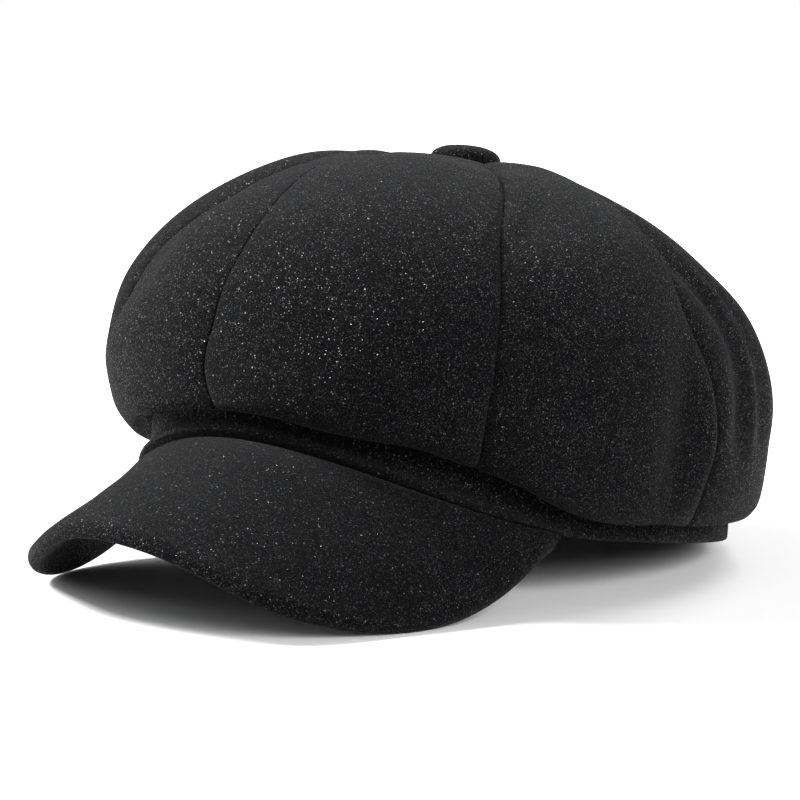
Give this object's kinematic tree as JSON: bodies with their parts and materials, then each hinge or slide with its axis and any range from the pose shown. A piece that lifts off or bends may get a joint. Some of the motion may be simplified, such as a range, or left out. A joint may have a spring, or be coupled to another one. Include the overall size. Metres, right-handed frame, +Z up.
{
  "type": "newsboy cap",
  "caption": "Full-crowned newsboy cap of panelled wool cloth, gathered to a covered button, with a curved stiffened visor, an outer band, a lining and a sweatband.",
  "frame": {"origin": "on the table, under the middle of the cap's overall box as it lies at rest", "axes": "+Z up, -Y towards the visor (the wearer's front), +X towards the wearer's left"},
  "size_m": [0.2112, 0.266, 0.1337],
  "materials": {
    "melton": "brushed charcoal-black melton wool with fine pale flecks",
    "lining": "black satin lining",
    "sweatband": "black ribbed grosgrain",
    "stiffener": "bonded canvas stiffener, hidden in the band",
    "wadding": "felted wadding, hidden in the visor",
    "board": "moulded visor board, hidden in the visor",
    "steel": "pressed and plain",
    "thread": "twisted sewing thread"
  },
  "bodies": {
    "root": {"crown_panel_front_left": "melton", "crown_panel_side_front_left": "melton", "crown_panel_side_back_left": "melton", "crown_panel_back_left": "melton", "crown_panel_back_right": "melton", "crown_panel_side_back_right": "melton", "crown_panel_side_front_right": "melton", "crown_panel_front_right": "melton", "lining_panel_front_left": "lining", "lining_panel_side_front_left": "lining", "lining_panel_side_back_left": "lining", "lining_panel_back_left": "lining", "lining_panel_back_right": "lining", "lining_panel_side_back_right": "lining", "lining_panel_side_front_right": "lining", "lining_panel_front_right": "lining", "outer_band": "melton", "band_stiffener": "stiffener", "sweatband": "sweatband", "visor_top_cloth": "melton", "visor_wadding": "wadding", "visor_board": "board", "visor_under_cloth": "melton", "button_cover": "melton", "button_shell": "steel", "button_back": "steel", "button_loop": "steel", "button_thread": "thread", "apex_patch": "lining"}
  },
  "joints": []
}
